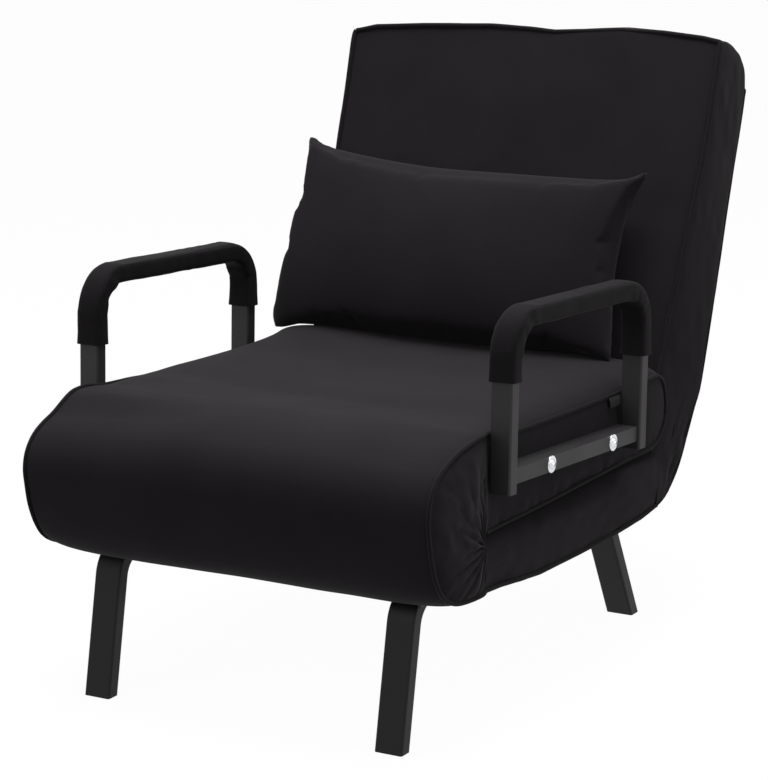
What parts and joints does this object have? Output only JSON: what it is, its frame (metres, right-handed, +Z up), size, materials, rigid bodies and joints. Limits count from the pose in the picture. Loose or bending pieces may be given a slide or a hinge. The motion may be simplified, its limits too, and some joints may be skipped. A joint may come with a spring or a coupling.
{
  "type": "convertible chair bed",
  "caption": "Single chair with a fold-over seat on padded arm loops, a reclining back and a loose pillow; the seat turns over forwards and the back lies flat to make a bed.",
  "frame": {"origin": "on the floor under the middle of the chair's bounding box, as a chair", "axes": "+Z up, the chair faces -Y, +X to the right of someone who faces the chair from the front"},
  "size_m": [0.6662, 0.9158, 0.7975],
  "materials": {
    "powder_coated_tube": "dark charcoal powder coat, satin",
    "frame_steel": "black paint",
    "zinc": "bright zinc plate",
    "plug_plastic": "matte black",
    "slat_wood": "bare laminated wood",
    "black_fabric": "matte black brushed microfibre",
    "label_cloth": "woven tape, bare"
  },
  "bodies": {
    "base": {"leg_loop_right": "powder_coated_tube", "leg_loop_left": "powder_coated_tube", "foot_plugs": "plug_plastic", "front_crossbar": "frame_steel", "middle_crossbar": "frame_steel", "rear_crossbar": "frame_steel", "base_slats": "slat_wood", "lower_cushion": "black_fabric", "front_roll": "black_fabric", "rear_bend": "black_fabric", "fold_bracket_right": "frame_steel", "fold_bracket_left": "frame_steel", "fold_pins": "zinc", "recline_bracket_right": "frame_steel", "recline_bracket_left": "frame_steel", "recline_pins": "zinc"},
    "foot_section": {"foot_frame": "frame_steel", "foot_slats": "slat_wood", "seat_cushion": "black_fabric", "fold_arm_right": "frame_steel", "fold_arm_left": "frame_steel", "arm_loop_right": "powder_coated_tube", "arm_loop_left": "powder_coated_tube", "arm_bar_right": "powder_coated_tube", "arm_bar_left": "powder_coated_tube", "arm_sleeve_right": "black_fabric", "arm_sleeve_left": "black_fabric", "arm_post_plugs": "plug_plastic", "arm_bolts": "zinc", "arm_washers": "zinc", "arm_spacers": "zinc", "arm_nuts": "zinc", "fabric_label": "label_cloth"},
    "backrest": {"back_frame": "frame_steel", "back_slats": "slat_wood", "back_cushion": "black_fabric", "recline_arm_right": "frame_steel", "recline_arm_left": "frame_steel"},
    "pillow": {"pillow": "black_fabric"}
  },
  "joints": [
    {"name": "foot_fold", "type": "hinge", "parent": "base", "child": "foot_section", "pos_m": [0, -0.385, 0.275], "axis": [1, 0, 0], "range_deg": [0, 183.9], "deforming": ["front_roll", "pillow"]},
    {"name": "back_recline", "type": "hinge", "parent": "base", "child": "backrest", "pos_m": [0, 0.17937, 0.248], "axis": [-1, 0, 0], "range_deg": [0, 69.8], "deforming": ["rear_bend"]},
    {"name": "pillow_lift", "type": "slide", "parent": "backrest", "child": "pillow", "axis": [0, -0.9385, 0.3453], "range_m": [0, 0.3]}
  ]
}
